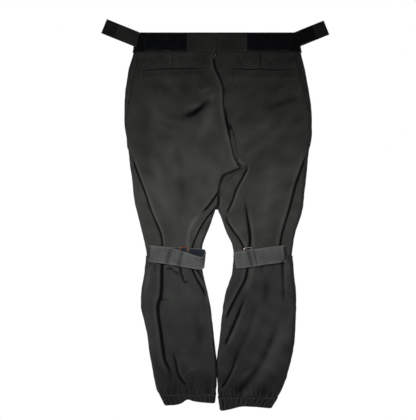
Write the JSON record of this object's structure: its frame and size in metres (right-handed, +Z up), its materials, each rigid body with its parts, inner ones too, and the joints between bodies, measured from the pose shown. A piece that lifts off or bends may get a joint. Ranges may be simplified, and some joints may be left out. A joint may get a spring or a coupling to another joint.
{
  "type": "strapped work trousers",
  "caption": "Black twill trousers with hook-and-loop waist tabs, welt pockets, buckled knee straps, lower legs and gathered elastic cuffs, held open at the waist.",
  "frame": {"origin": "middle of the waist opening, level with the waistband's top edge", "axes": "+Z up towards the waist, the legs hang down -Z, the back of the garment faces -Y, the wearer's right is +X"},
  "size_m": [0.6117, 0.0743, 1.0442],
  "materials": {
    "twill": "washed charcoal-black cotton twill with a diagonal rib",
    "lining": "plain black pocketing and waistband lining",
    "loop_tape": "near-black brushed loop pile",
    "hook_tape": "black moulded hooks on woven tape",
    "webbing": "faded grey cotton webbing with a fuzzy face",
    "copper_wire": "copper-coloured drawn wire, slightly dull",
    "zip_metal": "dark plated metal",
    "zip_tape": "black woven zip tape",
    "elastic": "off-white braided elastic, hidden in the cuff",
    "button": "black matt button",
    "label": "blank off-white satin label"
  },
  "bodies": {
    "trousers": {"back_panel_left": "twill", "back_panel_right": "twill", "front_panel_left": "twill", "front_panel_right": "twill", "side_panel_left": "twill", "side_panel_right": "twill", "inseam_gusset_left": "twill", "inseam_gusset_right": "twill", "lower_leg_back_left": "twill", "lower_leg_back_right": "twill", "lower_leg_front_left": "twill", "lower_leg_front_right": "twill", "cuff_casing_left": "twill", "cuff_casing_right": "twill", "cuff_elastic_left": "elastic", "cuff_elastic_right": "elastic", "waistband_back_left": "twill", "waistband_back_right": "twill", "waistband_front_left": "twill", "waistband_front_right": "twill", "band_lining_back_left": "lining", "band_lining_back_right": "lining", "band_lining_front_left": "lining", "band_lining_front_right": "lining", "loop_patch_left": "loop_tape", "loop_patch_right": "loop_tape", "tab_root_left": "twill", "tab_root_right": "twill", "pocket_welt_left": "twill", "pocket_welt_right": "twill", "back_pocket_bag_left": "lining", "back_pocket_bag_right": "lining", "front_pocket_bag_left": "lining", "front_pocket_bag_right": "lining", "zip_tape_left": "zip_tape", "zip_tape_right": "zip_tape", "zip_teeth_left": "zip_metal", "zip_teeth_right": "zip_metal", "knee_strap_left": "webbing", "knee_strap_right": "webbing", "ring_keeper_left": "webbing", "ring_keeper_right": "webbing", "band_underlap": "twill", "waist_button": "button", "care_label": "label", "fly_shield": "twill", "zip_stop": "zip_metal"},
    "waist_tab_left": {"waist_tab_left": "twill", "tab_hook_left": "hook_tape"},
    "strap_end_left": {"strap_end_left": "webbing", "strap_hook_left": "hook_tape"},
    "knee_ring_left": {"knee_ring_left": "copper_wire"},
    "waist_tab_right": {"waist_tab_right": "twill", "tab_hook_right": "hook_tape"},
    "strap_end_right": {"strap_end_right": "webbing", "strap_hook_right": "hook_tape"},
    "knee_ring_right": {"knee_ring_right": "copper_wire"},
    "zip_slider": {"zip_slider": "zip_metal"},
    "zip_pull": {"zip_pull": "zip_metal"},
    "fly_flap": {"fly_flap": "twill"}
  },
  "joints": [
    {"name": "waist_tab_left_fold", "type": "hinge", "parent": "trousers", "child": "waist_tab_left", "pos_m": [-0.208, -0.0356, 0], "axis": [0.1906, 0, 0.9817], "range_deg": [-20, 176]},
    {"name": "waist_tab_right_fold", "type": "hinge", "parent": "trousers", "child": "waist_tab_right", "pos_m": [0.208, -0.0356, 0], "axis": [0.1906, 0, -0.9817], "range_deg": [-20, 176]},
    {"name": "strap_end_left_open", "type": "hinge", "parent": "trousers", "child": "strap_end_left", "pos_m": [-0.03497, -0.0377, -0.58653], "axis": [0.1045, 0, 0.9945], "range_deg": [0, 95]},
    {"name": "strap_end_right_open", "type": "hinge", "parent": "trousers", "child": "strap_end_right", "pos_m": [0.05197, -0.0377, -0.58506], "axis": [0.1045, 0, -0.9945], "range_deg": [0, 95]},
    {"name": "knee_ring_left_swing", "type": "hinge", "parent": "trousers", "child": "knee_ring_left", "pos_m": [-0.09862, -0.0319, -0.57984], "axis": [-0.1045, 0, -0.9945], "range_deg": [0, 5]},
    {"name": "knee_ring_right_swing", "type": "hinge", "parent": "trousers", "child": "knee_ring_right", "pos_m": [0.09374, -0.0319, -0.58067], "axis": [-0.1045, 0, 0.9945], "range_deg": [0, 5]},
    {"name": "zip_slide", "type": "slide", "parent": "trousers", "child": "zip_slider", "axis": [0, 0, -1], "range_m": [0, 0.139]},
    {"name": "zip_pull_swing", "type": "hinge", "parent": "zip_slider", "child": "zip_pull", "pos_m": [0, 0.0321, -0.05577], "axis": [1, 0, 0], "range_deg": [0, 3.5]},
    {"name": "fly_flap_open", "type": "hinge", "parent": "trousers", "child": "fly_flap", "pos_m": [-0.034, 0.032, -0.0518], "axis": [0, 0, 1], "range_deg": [0, 70]}
  ]
}
